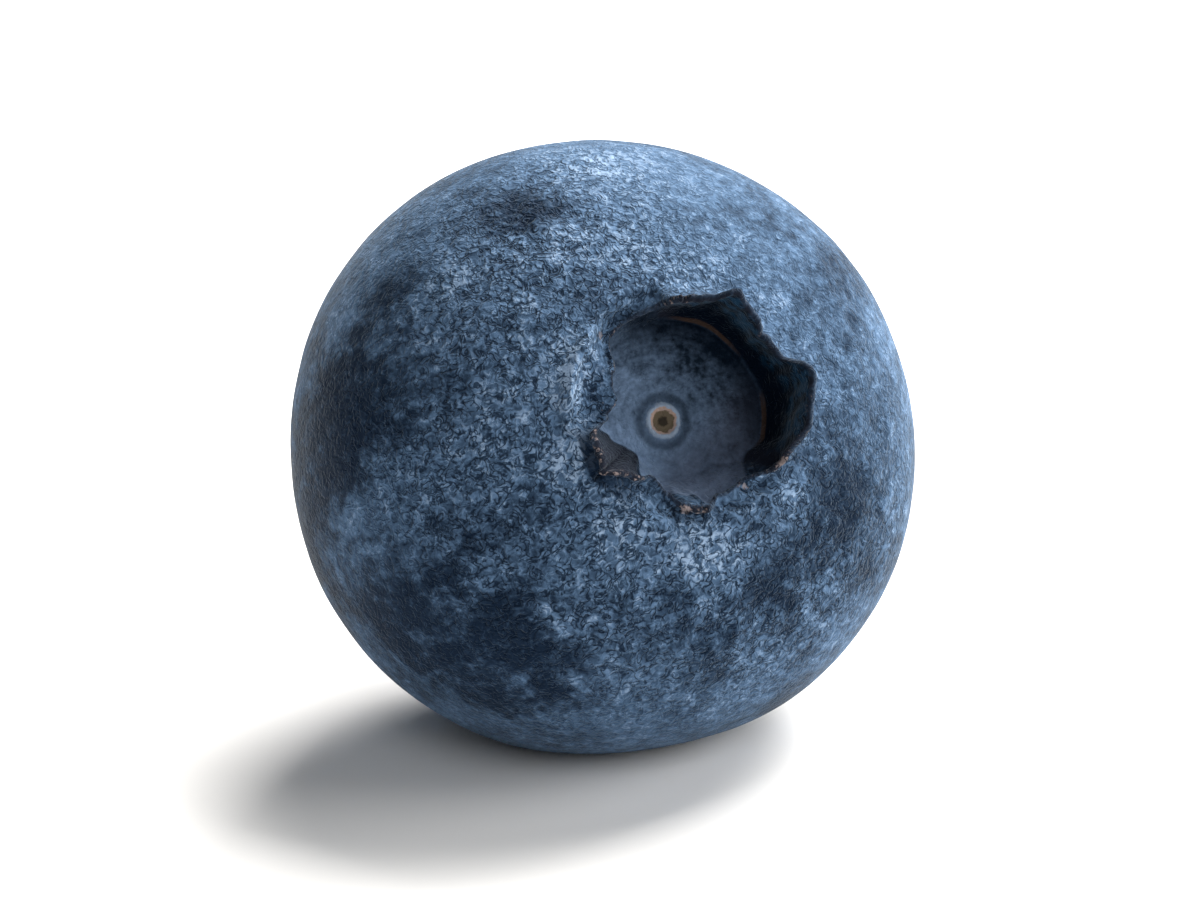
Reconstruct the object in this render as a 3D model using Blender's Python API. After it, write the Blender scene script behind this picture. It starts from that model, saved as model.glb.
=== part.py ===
"""A ripe highbush blueberry, lying as it was set down, with its crown raised towards -Y.

Metres, +Z up. The origin is the middle of the small flat spot that the fruit rests on. The
fruit is one piece: skin, crown, the dish inside the crown and the stem scar grew together.
It is modelled upright on its own axis, crown up, and then laid down and cut flat below.
"""

import math
from collections import namedtuple

import bmesh
import bpy
from mathutils import Matrix, Vector

MM = 0.001

# The fruit's body, a little wider than it is tall
EQUATOR_RADIUS = 8.55 * MM
CROWN_HALF_HEIGHT = 6.9 * MM
STEM_HALF_HEIGHT = 6.6 * MM
FULLNESS = 2.2
SIDE_SWELLS = ((2, 0.012, -4.0), (4, 0.006, 45.0), (3, 0.004, 110.0))

# The scar that the stem left, in a shallow dimple
STEM_DIMPLE_RADIUS = 2.1 * MM
STEM_DIMPLE_DEPTH = 0.55 * MM
STEM_SCAR_RADIUS = 0.95 * MM
STEM_SCAR_LIP = 0.10 * MM

# The crown's edge
EDGE_THICKNESS = 0.60 * MM

# The dish inside the crown, with the scar of the flower's style in its middle
DISH_RADIUS = 2.75 * MM
DISH_HEIGHT = 5.25 * MM
DISH_DIP = 0.25 * MM
ROOT_HEADING = Vector((-0.6, -0.8))
STYLE_RING_RADIUS = 0.42 * MM
STYLE_RING_HEIGHT = 0.12 * MM

# How the fruit lies
ROLL_DEG = -10.4
TILT_DEG = 59.0
TURN_DEG = 22.4
FLAT_DEPTH = 0.45 * MM

# How the soft underside gives as it lies: where, how far down and how far round. It sags
# behind and is drawn up a little in front, so the flat spot is under the middle of its mass.
SAGS = (
    (Vector((-1.1, 2.2)) * MM, 0.60 * MM, 3.5 * MM),
    (Vector((1.4, -2.7)) * MM, -0.15 * MM, 2.8 * MM),
)
SAG_HEIGHT = 6.0 * MM

# How finely each stretch of the fruit's profile is stepped
SEGMENTS = 90
SCAR_STEPS = 3
DIMPLE_STEPS = 3
SKIN_STEPS = 17
OUTER_STEPS = 5
EDGE_STEPS = 4
INNER_STEPS = 5
DISH_STEPS = 5
STYLE_STEPS = 3

# The crown's edge, seen from above and going anticlockwise: how far out it stands, how high
# over the dish, how far it leans out from upright, how far out its wall leaves the skin, and
# how far out the dish begins below it. The high stretches are the lobes.
Rim = namedtuple("Rim", "angle radius height lean foot dish")
RIMS = (
    Rim(-22.0, 3.05 * MM, 1.50 * MM, -20.0, 3.60 * MM, 2.65 * MM),
    Rim(-8.0, 3.15 * MM, 2.75 * MM, 6.0, 3.80 * MM, 2.75 * MM),
    Rim(20.0, 3.32 * MM, 2.90 * MM, 8.0, 3.85 * MM, 2.80 * MM),
    Rim(30.0, 3.15 * MM, 1.65 * MM, -5.0, 3.75 * MM, 2.80 * MM),
    Rim(42.0, 2.98 * MM, 1.95 * MM, 0.0, 3.65 * MM, 2.80 * MM),
    Rim(55.0, 3.10 * MM, 2.45 * MM, 4.0, 3.70 * MM, 2.80 * MM),
    Rim(70.0, 3.25 * MM, 2.90 * MM, 6.0, 3.80 * MM, 2.80 * MM),
    Rim(80.0, 2.98 * MM, 2.50 * MM, 2.0, 3.70 * MM, 2.75 * MM),
    Rim(92.0, 3.02 * MM, 2.35 * MM, 4.0, 3.65 * MM, 2.75 * MM),
    Rim(104.0, 2.90 * MM, 1.30 * MM, -50.0, 3.60 * MM, 2.65 * MM),
    Rim(128.0, 2.75 * MM, 1.00 * MM, -75.0, 3.60 * MM, 2.50 * MM),
    Rim(150.0, 2.10 * MM, 1.30 * MM, -85.0, 3.50 * MM, 2.40 * MM),
    Rim(172.0, 1.75 * MM, 1.40 * MM, -85.0, 3.50 * MM, 2.30 * MM),
    Rim(184.0, 2.00 * MM, 1.20 * MM, -60.0, 3.40 * MM, 1.90 * MM),
    Rim(196.0, 2.75 * MM, 1.70 * MM, 35.0, 3.00 * MM, 1.95 * MM),
    Rim(215.0, 2.90 * MM, 1.95 * MM, 50.0, 3.00 * MM, 1.80 * MM),
    Rim(230.0, 2.30 * MM, 1.60 * MM, 20.0, 3.00 * MM, 1.70 * MM),
    Rim(245.0, 1.90 * MM, 1.15 * MM, -80.0, 3.30 * MM, 1.45 * MM),
    Rim(260.0, 2.20 * MM, 1.20 * MM, -50.0, 3.30 * MM, 1.70 * MM),
    Rim(270.0, 2.65 * MM, 1.45 * MM, 35.0, 3.00 * MM, 2.00 * MM),
    Rim(282.0, 2.75 * MM, 1.50 * MM, 35.0, 3.10 * MM, 2.20 * MM),
    Rim(294.0, 2.40 * MM, 1.10 * MM, -60.0, 3.20 * MM, 2.10 * MM),
    Rim(315.0, 2.45 * MM, 1.05 * MM, -75.0, 3.40 * MM, 2.20 * MM),
)

SKIN_COLOUR = (0.08, 0.12, 0.19, 1.0)
SKIN_ROUGHNESS = 0.62


def turn_between(angle, other):
    """Degrees from other to angle, the short way round."""
    return (angle - other + 180.0) % 360.0 - 180.0


def body_point(latitude):
    """Radius and height of the plain body at a latitude, in radians, before its dimple."""
    half_height = CROWN_HALF_HEIGHT if latitude > 0 else STEM_HALF_HEIGHT
    radius = EQUATOR_RADIUS * math.cos(latitude) ** (2 / FULLNESS)
    height = half_height * abs(math.sin(latitude)) ** (2 / FULLNESS)
    return Vector((radius, math.copysign(height, latitude)))


def latitude_at(radius):
    """Latitude, without its sign, at which the plain body has this radius."""
    return math.acos((radius / EQUATOR_RADIUS) ** (FULLNESS / 2))


def stem_side_point(radius):
    """A point near the stem end: the body, drawn in by its dimple, with the scar's low lip."""
    point = body_point(-latitude_at(radius))
    point.y += STEM_DIMPLE_DEPTH * math.exp(-((radius / STEM_DIMPLE_RADIUS) ** 2))
    lip = (radius - STEM_SCAR_RADIUS) / (0.25 * STEM_SCAR_RADIUS)
    point.y -= STEM_SCAR_LIP * math.exp(-(lip**2))
    return point


def rim_at(angle):
    """The crown's edge at an angle, blended from the named places on each side of it."""
    for before, after in zip(RIMS, RIMS[1:] + RIMS[:1]):
        gap = turn_between(after.angle, before.angle)
        way = turn_between(angle, before.angle)
        if 0 <= way < gap:
            break
    share = way / gap
    share = share * share * (3 - 2 * share)
    return Rim(*(a + (b - a) * share for a, b in zip(before, after)))


def curve(start, start_heading, end, end_heading, steps):
    """Points strictly between start and end, on a curve with those headings."""
    reach = (end - start).length * 0.4
    first = start + start_heading * reach
    second = end - end_heading * reach
    points = []
    for number in range(1, steps + 1):
        t = number / (steps + 1)
        s = 1 - t
        points.append(
            start * s**3 + first * 3 * s * s * t + second * 3 * s * t * t + end * t**3
        )
    return points


def stem_stretch():
    """From the stem's pole, over the scar and up the side of its dimple."""
    radii = [STEM_SCAR_RADIUS * n / SCAR_STEPS for n in range(SCAR_STEPS + 1)]
    widest = STEM_DIMPLE_RADIUS * 1.4
    for number in range(1, DIMPLE_STEPS + 1):
        share = number / DIMPLE_STEPS
        radii.append(STEM_SCAR_RADIUS + (widest - STEM_SCAR_RADIUS) * share)
    return [stem_side_point(radius) for radius in radii]


def skin_stretch(start_radius, end_radius):
    """From the edge of the stem's dimple, round the equator, to the crown's foot."""
    low = -latitude_at(start_radius)
    high = latitude_at(end_radius)
    points = []
    for number in range(1, SKIN_STEPS + 1):
        latitude = low + (high - low) * number / SKIN_STEPS
        if latitude < 0:
            points.append(stem_side_point(body_point(latitude).x))
        else:
            points.append(body_point(latitude))
    return points


def crown_stretch(rim, start, start_heading):
    """From the skin, up the crown's outer face, over its edge and down to the dish."""
    lean = math.radians(rim.lean)
    along = Vector((math.sin(lean), math.cos(lean))) * EDGE_THICKNESS / 2
    across = Vector((along.y, -along.x))
    middle = Vector((rim.radius, DISH_HEIGHT + rim.height)) - along
    outside = middle + across
    inside = middle - across
    root = Vector((rim.dish, DISH_HEIGHT))
    points = curve(start, start_heading, outside, along.normalized(), OUTER_STEPS)
    points.append(outside)
    for number in range(1, EDGE_STEPS):
        swing = math.pi * number / EDGE_STEPS
        points.append(middle + across * math.cos(swing) + along * math.sin(swing))
    points.append(inside)
    points += curve(inside, -along.normalized(), root, ROOT_HEADING, INNER_STEPS)
    points.append(root)
    return points


def dish_stretch(dish_radius):
    """From the foot of the crown's inner face, over the dish, to its middle."""
    style_edge = STYLE_RING_RADIUS * 1.5
    points = []
    for number in range(1, DISH_STEPS + 1):
        radius = dish_radius + (style_edge - dish_radius) * number / DISH_STEPS
        points.append(Vector((radius, dish_height(radius))))
    for number in range(1, STYLE_STEPS + 1):
        radius = style_edge * (1 - number / STYLE_STEPS)
        points.append(Vector((radius, dish_height(radius))))
    return points


def dish_height(radius):
    """Height of the dish's floor, lowest in the middle, with the style's low ring on it."""
    floor = DISH_HEIGHT - DISH_DIP * (1 - (radius / DISH_RADIUS) ** 2)
    ring = (radius - STYLE_RING_RADIUS) / (0.35 * STYLE_RING_RADIUS)
    return floor + STYLE_RING_HEIGHT * math.exp(-(ring**2))


def profile(angle):
    """The fruit's whole profile at an angle round its axis, from stem to the dish's middle."""
    rim = rim_at(angle)
    stem = stem_stretch()
    skin = skin_stretch(stem[-1].x, rim.foot)
    heading = (skin[-1] - skin[-2]).normalized()
    return stem + skin + crown_stretch(rim, skin[-1], heading) + dish_stretch(rim.dish)


def swell(angle, radius):
    """Share by which the body is wider here than a turned shape, none near the axis."""
    share = 0.0
    for times, size, phase in SIDE_SWELLS:
        share += size * math.cos(times * math.radians(angle - phase))
    return share * (radius / EQUATOR_RADIUS) ** 3


def shape_berry(mesh):
    """Starts from a sphere and moves each of its points to its place on the fruit."""
    profiles = [profile(360.0 * n / SEGMENTS) for n in range(SEGMENTS)]
    rings = len(profiles[0]) - 1
    bm = bmesh.new()
    bmesh.ops.create_uvsphere(bm, u_segments=SEGMENTS, v_segments=rings, radius=1.0)
    for vert in bm.verts:
        polar = math.acos(max(-1.0, min(1.0, vert.co.z)))
        ring = rings - round(polar / math.pi * rings)
        turn = math.degrees(math.atan2(vert.co.y, vert.co.x))
        column = round(turn / 360.0 * SEGMENTS) % SEGMENTS
        point = profiles[column][ring]
        radius = point.x * (1 + swell(360.0 * column / SEGMENTS, point.x))
        turn = math.radians(360.0 * column / SEGMENTS)
        vert.co = (radius * math.cos(turn), radius * math.sin(turn), point.y)
    bm.to_mesh(mesh)
    bm.free()


def sag(point, lowest):
    """How far down the underside gives at a point of the fruit as it lies."""
    fade = max(0.0, 1 - (point.z - lowest) / SAG_HEIGHT)
    drop = 0.0
    for place, depth, width in SAGS:
        drop += depth * math.exp(-(((point.xy - place).length / width) ** 2))
    return drop * fade


def lay_down(berry):
    """Lays the fruit on its side and cuts the flat spot, whose middle becomes the origin."""
    pose = Matrix.Rotation(math.radians(TURN_DEG), 4, "Z")
    pose @= Matrix.Rotation(math.radians(TILT_DEG), 4, "X")
    pose @= Matrix.Rotation(math.radians(ROLL_DEG), 4, "Z")
    lowest = min((pose @ vert.co).z for vert in berry.data.vertices)
    bm = bmesh.new()
    bm.from_mesh(berry.data)
    for vert in bm.verts:
        point = pose @ vert.co
        point.z -= sag(point, lowest)
        vert.co = pose.inverted() @ point
    pose = Matrix.Translation((0.0, 0.0, -lowest - FLAT_DEPTH)) @ pose
    to_fruit = pose.inverted()
    floor_point = to_fruit @ Vector((0.0, 0.0, 0.0))
    floor_normal = (to_fruit.to_3x3() @ Vector((0.0, 0.0, 1.0))).normalized()
    everything = bm.verts[:] + bm.edges[:] + bm.faces[:]
    bmesh.ops.bisect_plane(
        bm, geom=everything, plane_co=floor_point, plane_no=floor_normal, clear_inner=True
    )
    rim = [edge for edge in bm.edges if edge.is_boundary]
    flat = bmesh.ops.contextual_create(bm, geom=rim)["faces"][0]
    middle = pose @ flat.calc_center_median_weighted()
    bmesh.ops.recalc_face_normals(bm, faces=bm.faces[:])
    bm.to_mesh(berry.data)
    bm.free()
    berry.matrix_world = Matrix.Translation((-middle.x, -middle.y, 0.0)) @ pose


def skin_material():
    """Dark blue skin under its pale bloom."""
    material = bpy.data.materials.new("bloomed_skin")
    material.use_nodes = True
    shader = material.node_tree.nodes["Principled BSDF"]
    shader.inputs["Base Color"].default_value = SKIN_COLOUR
    shader.inputs["Roughness"].default_value = SKIN_ROUGHNESS
    shader.inputs["Metallic"].default_value = 0.0
    return material


def main():
    for obj in list(bpy.data.objects):
        bpy.data.objects.remove(obj)
    collection = bpy.data.collections.new("blueberry")
    bpy.context.scene.collection.children.link(collection)
    mesh = bpy.data.meshes.new("blueberry")
    shape_berry(mesh)
    berry = bpy.data.objects.new("blueberry", mesh)
    collection.objects.link(berry)
    lay_down(berry)
    mesh.materials.append(skin_material())
    mesh.shade_smooth()
    mesh.set_sharp_from_angle(angle=math.radians(50))


main()
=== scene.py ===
"""The looks of a ripe blueberry: bloomed skin, ragged crown and scars, on a plain pale floor.

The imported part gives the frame. Its one node is replaced with a finer mesh of the same form,
which is dressed, lit and seen at the photograph's viewing angle. Sizes of the fruit are in
millimetres in the fruit's own frame, upright with its crown up, until the mesh is laid down.
"""

from __future__ import annotations

import logging
import math
from dataclasses import astuple, dataclass, field, replace
from enum import Enum

import bpy
import numpy as np
from mathutils import Matrix, Vector, noise


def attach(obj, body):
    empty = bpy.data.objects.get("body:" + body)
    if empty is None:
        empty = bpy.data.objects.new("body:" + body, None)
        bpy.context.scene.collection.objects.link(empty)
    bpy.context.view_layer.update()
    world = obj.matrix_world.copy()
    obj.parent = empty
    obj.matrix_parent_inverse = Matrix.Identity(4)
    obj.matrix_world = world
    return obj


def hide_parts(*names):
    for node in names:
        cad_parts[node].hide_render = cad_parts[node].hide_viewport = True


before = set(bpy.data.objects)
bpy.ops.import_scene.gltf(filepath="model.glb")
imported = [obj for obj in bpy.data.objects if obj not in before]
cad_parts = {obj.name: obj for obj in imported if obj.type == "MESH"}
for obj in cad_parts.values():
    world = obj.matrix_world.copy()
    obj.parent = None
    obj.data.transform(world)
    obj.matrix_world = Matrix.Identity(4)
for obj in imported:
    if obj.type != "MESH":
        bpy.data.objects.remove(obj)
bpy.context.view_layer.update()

LOG = logging.getLogger("blueberry")
MM = 0.001
HANDLE_REACH = 0.4

Colour = tuple[float, float, float]
Place = tuple[float, float, float]
Span = tuple[float, float]


class Stretch(Enum):
    """Where along the fruit's profile a point is. The value grows from stem to dish."""

    SKIN = 0.0
    OUTER_FACE = 1.0
    EDGE = 2.0
    INNER_FACE = 3.0
    DISH = 4.0
    STYLE = 5.0


@dataclass(frozen=True)
class ProfilePoint:
    """One point of the fruit's profile: radius and height in mm, and its stretch."""

    radius: float
    height: float
    stretch: float


@dataclass(frozen=True)
class Rim:
    """The crown's edge at one place, seen from above and going anticlockwise.

    Angles are in degrees and sizes in mm. The height is above the dish, the outer face starts
    at the radius foot and the inner face ends at the radius dish. The last three are from 0 to 1;
    the last is painted shadow, darkening the outer face below a raised lobe's edge.
    """

    angle: float
    radius: float
    height: float
    lean: float
    foot: float
    dish: float
    ridge: float = 0.0
    bloomed: float = 0.0
    browned: float = 0.0
    # Painted shadow: how far the outer face below a raised lobe's edge is darkened, from 0 to 1.
    edge_shadow: float = 0.0


def turn_between(angle: float, other: float) -> float:
    """Degrees from other to angle, the short way round."""
    return (angle - other + 180.0) % 360.0 - 180.0


def curve(start: Vector, heading: Vector, end: Vector, end_heading: Vector, steps: int) -> list[Vector]:
    """Points strictly between two points, on a curve with the given headings.

    Args:
        start: Where the curve starts.
        heading: Unit direction in which it leaves the start.
        end: Where the curve ends.
        end_heading: Unit direction in which it reaches the end.
        steps: How many points to give.

    Returns:
        The points in order, without the two ends.
    """
    reach = (end - start).length * HANDLE_REACH
    first = start + heading * reach
    second = end - end_heading * reach
    points = []
    for t in shares(steps + 1)[:-1]:
        s = 1 - t
        points.append(start * s**3 + first * 3 * s * s * t + second * 3 * s * t * t + end * t**3)
    return points


def shares(steps: int) -> list[float]:
    """The shares of a whole after each of some equal steps."""
    return [number / steps for number in range(1, steps + 1)]


def ramp(value: float, low: float, high: float) -> float:
    """How far a value has come from low to high, kept between 0 and 1."""
    return min(1.0, max(0.0, (value - low) / (high - low)))


def hump(value: float, middle: float, width: float) -> float:
    """A smooth hump, 1 at its middle and falling to 0 on both sides."""
    return math.exp(-(((value - middle) / width) ** 2))


@dataclass(frozen=True)
class Wave:
    """Smooth noise that closes on itself round the fruit's axis.

    It has about six times its busyness of swings in a turn, and a seed of its own.
    """

    size: float
    busyness: float
    seed: float

    def at(self, angle: float) -> float:
        """The wave's value at an angle in degrees."""
        turn = math.radians(angle)
        spot = Vector((math.cos(turn) * self.busyness, math.sin(turn) * self.busyness, self.seed))
        return self.size * noise.noise(spot)


@dataclass(frozen=True)
class Bumps:
    """Low bumps all over a surface: their height in mm and their number in a millimetre."""

    height: float
    scale: float

    def at(self, spot: Vector) -> float:
        """The bumps' height at a place."""
        return self.height * noise.noise(spot * self.scale)


def total(swings: tuple[Wave, ...] | tuple[Bumps, ...], where: float | Vector) -> float:
    """The sum of some waves at an angle, or of some bumps at a place."""
    return sum(swing.at(where) for swing in swings)


@dataclass(frozen=True)
class Body:
    """The plain body of the fruit, a little wider than it is tall.

    Each swell has its number in a turn, its share of the radius and its phase in degrees. The
    bumps are still near the axis and above the shoulder.
    """

    equator_radius: float = 8.55
    crown_half_height: float = 6.9
    stem_half_height: float = 6.6
    fullness: float = 2.2
    swells: tuple[tuple[int, float, float], ...] = ((2, 0.012, -4.0), (4, 0.006, 45.0), (3, 0.004, 110.0))
    bumps: tuple[Bumps, ...] = (Bumps(0.035, 0.32), Bumps(0.01225, 1.1))
    shoulder: Bumps = Bumps(0.11, 1.4)
    shoulder_height: float = 5.3
    shoulder_width: float = 0.9
    still_radius: float = 3.0
    still_heights: Span = (6.6, 5.4)

    def point(self, latitude: float) -> Vector:
        """Radius and height of the body at a latitude in radians."""
        half_height = self.crown_half_height if latitude > 0 else self.stem_half_height
        radius = self.equator_radius * math.cos(latitude) ** (2 / self.fullness)
        height = half_height * abs(math.sin(latitude)) ** (2 / self.fullness)
        return Vector((radius, math.copysign(height, latitude)))

    def latitude_at(self, radius: float) -> float:
        """Latitude, without its sign, at which the body has this radius."""
        return math.acos(min(1.0, radius / self.equator_radius) ** (self.fullness / 2))

    def swell(self, angle: float, radius: float) -> float:
        """Share by which the body is wider here than a turned shape, none near the axis."""
        share = 0.0
        for times, size, phase in self.swells:
            share += size * math.cos(times * math.radians(angle - phase))
        return share * (radius / self.equator_radius) ** 3

    def relief(self, spot: Vector, radius: float) -> float:
        """How far the bumps lift the skin.

        Args:
            spot: The place on the skin.
            radius: Its distance from the fruit's axis.

        Returns:
            The lift in mm.
        """
        still = ramp(radius, 0.0, self.still_radius) * ramp(spot.z, *self.still_heights)
        shoulder = self.shoulder.at(spot) * hump(spot.z, self.shoulder_height, self.shoulder_width)
        return (total(self.bumps, spot) + shoulder) * still

    def skin(self, stem: StemEnd, start: float, end: float, steps: int) -> list[ProfilePoint]:
        """The skin from the edge of the stem's dimple, round the equator, to the crown's foot.

        Args:
            stem: The stem end, whose dimple draws the skin in.
            start: Radius at which the dimple's own points stop.
            end: Radius of the crown's foot.
            steps: How many points to give.

        Returns:
            The points in order, with the crown's foot last.
        """
        low = -self.latitude_at(start)
        high = self.latitude_at(end)
        points = []
        for share in shares(steps):
            latitude = low + (high - low) * share
            point = self.point(latitude)
            if latitude < 0:
                point = stem.point(self, point.x)
            points.append(ProfilePoint(point.x, point.y, Stretch.SKIN.value + share))
        return points


@dataclass(frozen=True)
class StemEnd:
    """The scar that the stem left, in a shallow dimple."""

    dimple_radius: float = 2.1
    dimple_depth: float = 0.55
    dimple_reach: float = 2.94
    scar_radius: float = 0.95
    lip: float = 0.10
    lip_width: float = 0.2375
    scar_steps: int = 16
    dimple_steps: int = 12

    def point(self, body: Body, radius: float) -> Vector:
        """A point near the stem end: the body, drawn in by its dimple, with the scar's lip."""
        point = body.point(-body.latitude_at(radius))
        point.y += self.dimple_depth * hump(radius, 0.0, self.dimple_radius)
        point.y -= self.lip * hump(radius, self.scar_radius, self.lip_width)
        return point

    def stretch(self, body: Body) -> list[ProfilePoint]:
        """The profile from the stem's pole, over the scar and up the side of its dimple.

        Args:
            body: The plain body that the dimple is sunk into.

        Returns:
            The points in order, with the pole first.
        """
        radii = [0.0] + [self.scar_radius * share for share in shares(self.scar_steps)]
        for share in shares(self.dimple_steps):
            radii.append(self.scar_radius + (self.dimple_reach - self.scar_radius) * share)
        points = [self.point(body, radius) for radius in radii]
        return [ProfilePoint(p.x, p.y, Stretch.SKIN.value) for p in points]


@dataclass(frozen=True)
class Dish:
    """The shallow dish inside the crown, with the scar of the flower's style in its middle."""

    radius: float = 2.75
    height: float = 5.25
    dip: float = 0.25
    style_radius: float = 0.42
    style_height: float = 0.10
    style_width: float = 0.1176
    style_edge: float = 0.63
    ripple: float = 0.007
    ripple_length: float = 0.33
    ripple_wander: Wave = Wave(0.12, 1.1, 3.7)
    still_radii: Span = (0.55, 0.95)
    bumps: tuple[Bumps, ...] = (Bumps(0.030, 1.3), Bumps(0.014, 4.1))
    bump_seed: float = 0.5
    steps: int = 46
    style_steps: int = 18

    def floor(self, radius: float, angle: float) -> float:
        """Height of the dish's floor, with its faint rings and the low ring of the style.

        Args:
            radius: Distance from the fruit's axis.
            angle: Degrees round the axis.

        Returns:
            The height in mm.
        """
        height = self.height - self.dip * (1 - (radius / self.radius) ** 2)
        height += self.style_height * hump(radius, self.style_radius, self.style_width)
        still = ramp(radius, *self.still_radii)
        swings = (radius + self.ripple_wander.at(angle)) / self.ripple_length
        height += self.ripple * still * math.sin(math.tau * swings)
        turn = math.radians(angle)
        spot = Vector((radius * math.cos(turn), radius * math.sin(turn), self.bump_seed))
        return height + still * total(self.bumps, spot)

    def stretch(self, dish_radius: float, angle: float) -> list[ProfilePoint]:
        """The profile from the foot of the crown's inner face to the dish's middle.

        Args:
            dish_radius: Where the dish begins at this angle.
            angle: Degrees round the axis.

        Returns:
            The points in order, with the dish's middle last.
        """
        points = []
        for share in shares(self.steps):
            radius = dish_radius + (self.style_edge - dish_radius) * share
            points.append(ProfilePoint(radius, self.floor(radius, angle), Stretch.DISH.value + share))
        for share in shares(self.style_steps):
            radius = self.style_edge * (1 - share)
            points.append(ProfilePoint(radius, self.floor(radius, angle), Stretch.STYLE.value + share))
        return points


@dataclass(frozen=True)
class Crown:
    """The ring of dried flower lobes that stands on the shoulder of the fruit.

    Its waves make the edge ragged, less so where a lobe lies low. Each crinkle of a lobe's
    faces has its size, its busyness round the axis and its swings from root to edge.
    """

    rims: tuple[Rim, ...] = (
        Rim(-22.0, 3.05, 1.50, -20.0, 3.60, 2.40, browned=0.8),
        Rim(-8.0, 3.15, 2.75, 6.0, 3.80, 2.75),
        Rim(20.0, 3.32, 2.90, 8.0, 3.85, 2.80),
        Rim(30.0, 3.15, 1.65, -5.0, 3.75, 2.80),
        Rim(42.0, 2.98, 1.95, 0.0, 3.65, 2.80),
        Rim(55.0, 3.10, 2.45, 4.0, 3.70, 2.80),
        Rim(70.0, 3.25, 2.90, 6.0, 3.80, 2.80),
        Rim(80.0, 2.98, 2.50, 2.0, 3.70, 2.75),
        Rim(92.0, 3.02, 2.35, 4.0, 3.65, 2.75, browned=0.6),
        Rim(104.0, 2.90, 1.10, -50.0, 3.60, 2.65, bloomed=0.7, browned=0.2),
        Rim(128.0, 2.75, 0.70, -75.0, 3.60, 2.50, bloomed=0.6, browned=0.6),
        Rim(150.0, 2.10, 1.15, -85.0, 3.50, 1.95, ridge=0.24, bloomed=0.2, browned=0.6),
        Rim(172.0, 1.80, 1.10, -85.0, 3.50, 1.75, ridge=0.34, bloomed=0.3, browned=0.3),
        Rim(184.0, 2.00, 1.10, -60.0, 3.40, 1.75, ridge=0.10, bloomed=0.6, edge_shadow=0.2),
        Rim(196.0, 2.75, 1.60, 35.0, 3.10, 1.60, browned=0.8, edge_shadow=0.9),
        Rim(215.0, 2.90, 1.75, 50.0, 3.20, 1.30, browned=1.0, edge_shadow=1.0),
        Rim(230.0, 2.35, 1.50, 25.0, 3.10, 1.20, browned=0.9, edge_shadow=0.7),
        Rim(245.0, 1.90, 1.15, -70.0, 3.30, 1.30, bloomed=0.6, edge_shadow=0.2),
        Rim(260.0, 2.20, 1.20, -50.0, 3.30, 1.50, bloomed=0.6),
        Rim(270.0, 2.65, 1.45, 35.0, 3.00, 1.60, bloomed=0.7, browned=0.5, edge_shadow=0.5),
        Rim(282.0, 2.75, 1.50, 35.0, 3.10, 1.65, bloomed=0.7, browned=0.7, edge_shadow=0.3),
        Rim(294.0, 2.40, 1.10, -60.0, 3.20, 1.60, bloomed=0.9),
        Rim(315.0, 2.45, 1.05, -75.0, 3.40, 1.70, bloomed=0.9, browned=0.2),
    )
    thickness: float = 0.20
    outer_steps: int = 28
    edge_steps: int = 8
    inner_steps: int = 26
    root_heading: tuple[float, float] = (-0.6, -0.8)
    height_waves: tuple[Wave, ...] = (Wave(0.10, 5.0, 1.3), Wave(0.09, 14.0, 8.1), Wave(0.05, 33.0, 2.6))
    radius_waves: tuple[Wave, ...] = (Wave(0.05, 6.0, 4.4), Wave(0.035, 19.0, 6.6))
    lean_wave: Wave = Wave(14.0, 7.0, 9.9)
    foot_wave: Wave = Wave(0.05, 4.0, 7.5)
    tears: Wave = Wave(0.55, 13.0, 5.2)
    tear_from: float = 0.099
    standing_heights: Span = (0.8, 2.0)
    least_standing: float = 0.25
    crinkles: tuple[tuple[float, float, float], ...] = ((0.075, 7.5, 0.9), (0.035, 17.0, 2.1))
    outer_seed: float = 0.0
    inner_seed: float = 5.0
    ridge_radius: float = 3.25
    ridge_width: float = 0.17
    groove_radius: float = 2.65
    groove_width: float = 0.33
    groove_share: float = 0.8

    def rim_at(self, angle: float) -> Rim:
        """The crown's edge at an angle, blended from the named places on each side of it.

        Args:
            angle: Degrees round the fruit's axis.

        Returns:
            The blended edge, before it is made ragged.
        """
        for before, after in zip(self.rims, self.rims[1:] + self.rims[:1]):
            gap = turn_between(after.angle, before.angle)
            way = turn_between(angle, before.angle)
            if 0 <= way < gap:
                break
        share = way / gap
        share = share * share * (3 - 2 * share)
        return Rim(*(a + (b - a) * share for a, b in zip(astuple(before), astuple(after))))

    def ragged(self, angle: float) -> Rim:
        """The crown's edge at an angle, torn and crinkled as a dried lobe is.

        Args:
            angle: Degrees round the fruit's axis.

        Returns:
            The edge there.
        """
        rim = self.rim_at(angle)
        standing = max(self.least_standing, ramp(rim.height, *self.standing_heights))
        tear = max(0.0, self.tears.at(angle) - self.tear_from)
        return replace(
            rim,
            radius=rim.radius + total(self.radius_waves, angle),
            height=rim.height + (total(self.height_waves, angle) - tear) * standing,
            lean=rim.lean + self.lean_wave.at(angle) * standing,
            dish=rim.dish + self.foot_wave.at(angle),
        )

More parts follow.
